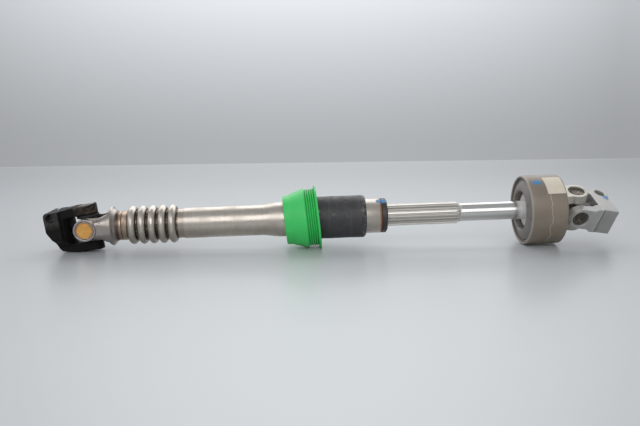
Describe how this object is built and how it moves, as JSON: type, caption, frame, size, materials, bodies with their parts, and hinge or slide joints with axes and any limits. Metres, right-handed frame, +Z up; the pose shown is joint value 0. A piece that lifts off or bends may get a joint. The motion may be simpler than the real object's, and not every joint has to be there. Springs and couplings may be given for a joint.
{
  "type": "steering shaft joint",
  "caption": "Lower steering shaft with cardan joints, a corrugated crash tube, a sliding spline, a bulkhead seal collar and a rubber coupling.",
  "frame": {"origin": "centre of the bounding box on the plane that the shaft lies on", "axes": "+X along the shaft from the lower clamp yoke to the upper one, +Z up from the plane it lies on, -Y towards the side that the picture shows"},
  "size_m": [0.466, 0.058, 0.0587],
  "materials": {
    "black_coated_steel": "satin black cathodic coating over forged steel",
    "yellow_zinc_steel": "yellow passivated zinc on drawn steel",
    "forged_steel": "clean-forged steel, heat tinted near the weld",
    "drawn_steel": "drawn and turned steel tube",
    "spline_steel": "bright rolled spline and ground shaft",
    "cross_steel": "hardened and ground",
    "needle_steel": "ground bearing steel",
    "cup_steel": "drawn bearing steel",
    "seal_rubber": "black nitrile rubber",
    "nylon_liner": "moulded slide coating",
    "black_plastic": "fine matt moulding",
    "green_plastic": "semi-gloss moulding",
    "brown_coated_steel": "brown coated steel ring",
    "grey_steel": "phosphated steel",
    "pale_casting": "blasted steel",
    "aluminium_block": "machined aluminium"
  },
  "bodies": {
    "outer_shaft": {"tube_yoke": "forged_steel", "lower_cup_front": "yellow_zinc_steel", "lower_cup_rear": "yellow_zinc_steel", "corrugated_tube": "drawn_steel", "spline_liner": "nylon_liner", "wiper_ring": "black_plastic", "bearing_sleeve": "black_plastic"},
    "lower_cross_set": {"lower_cross": "cross_steel", "lower_needles_front": "needle_steel", "lower_needles_rear": "needle_steel", "lower_needles_top": "needle_steel", "lower_needles_bottom": "needle_steel", "lower_seal_front": "seal_rubber", "lower_seal_rear": "seal_rubber", "lower_seal_top": "seal_rubber", "lower_seal_bottom": "seal_rubber"},
    "lower_yoke": {"lower_clamp_yoke": "black_coated_steel", "lower_cup_top": "yellow_zinc_steel", "lower_cup_bottom": "yellow_zinc_steel"},
    "seal_collar_body": {"seal_collar": "green_plastic"},
    "inner_shaft": {"splined_shaft": "spline_steel", "coupling_hub": "grey_steel"},
    "coupling": {"coupling_ring": "brown_coated_steel", "coupling_cover": "grey_steel", "coupling_rubber": "seal_rubber", "upper_fork": "pale_casting", "upper_cup_top": "cup_steel", "upper_cup_bottom": "cup_steel"},
    "upper_cross_set": {"upper_cross": "cross_steel", "upper_needles_front": "needle_steel", "upper_needles_rear": "needle_steel", "upper_needles_top": "needle_steel", "upper_needles_bottom": "needle_steel", "upper_seal_front": "seal_rubber", "upper_seal_rear": "seal_rubber", "upper_seal_top": "seal_rubber", "upper_seal_bottom": "seal_rubber"},
    "upper_yoke": {"upper_clamp_yoke": "aluminium_block", "upper_cup_front": "cup_steel", "upper_cup_rear": "cup_steel"}
  },
  "joints": [
    {"name": "lower_cross_pivot", "type": "hinge", "parent": "outer_shaft", "child": "lower_cross_set", "pos_m": [-0.20013, 0, 0.01967], "axis": [0, 1, 0], "range_deg": [-23.5, 36.5]},
    {"name": "lower_yoke_pivot", "type": "hinge", "parent": "lower_cross_set", "child": "lower_yoke", "pos_m": [-0.20013, 0, 0.01967], "axis": [-0.1391, 0, 0.9903], "range_deg": [-30, 30]},
    {"name": "seal_collar_spin", "type": "hinge", "parent": "outer_shaft", "child": "seal_collar_body", "pos_m": [-0.02909, 0, 0.02414], "axis": [0.9945, 0, 0.1044], "continuous": true},
    {"name": "telescope", "type": "slide", "parent": "outer_shaft", "child": "inner_shaft", "axis": [0.9997, 0, 0.0261], "range_m": [-0.06, 0.03]},
    {"name": "coupling_twist", "type": "hinge", "parent": "inner_shaft", "child": "coupling", "pos_m": [0.19873, 0, 0.03008], "axis": [0.9997, 0, 0.0261], "range_deg": [-4, 4], "stiffness_Nm_per_rad": 30},
    {"name": "upper_cross_pivot", "type": "hinge", "parent": "coupling", "child": "upper_cross_set", "pos_m": [0.19873, 0, 0.03008], "axis": [-0.0236, -0.4226, 0.906], "range_deg": [-19, 13]},
    {"name": "upper_yoke_pivot", "type": "hinge", "parent": "upper_cross_set", "child": "upper_yoke", "pos_m": [0.19873, 0, 0.03008], "axis": [-0.0633, 0.9051, 0.4205], "range_deg": [-41, 15]}
  ]
}
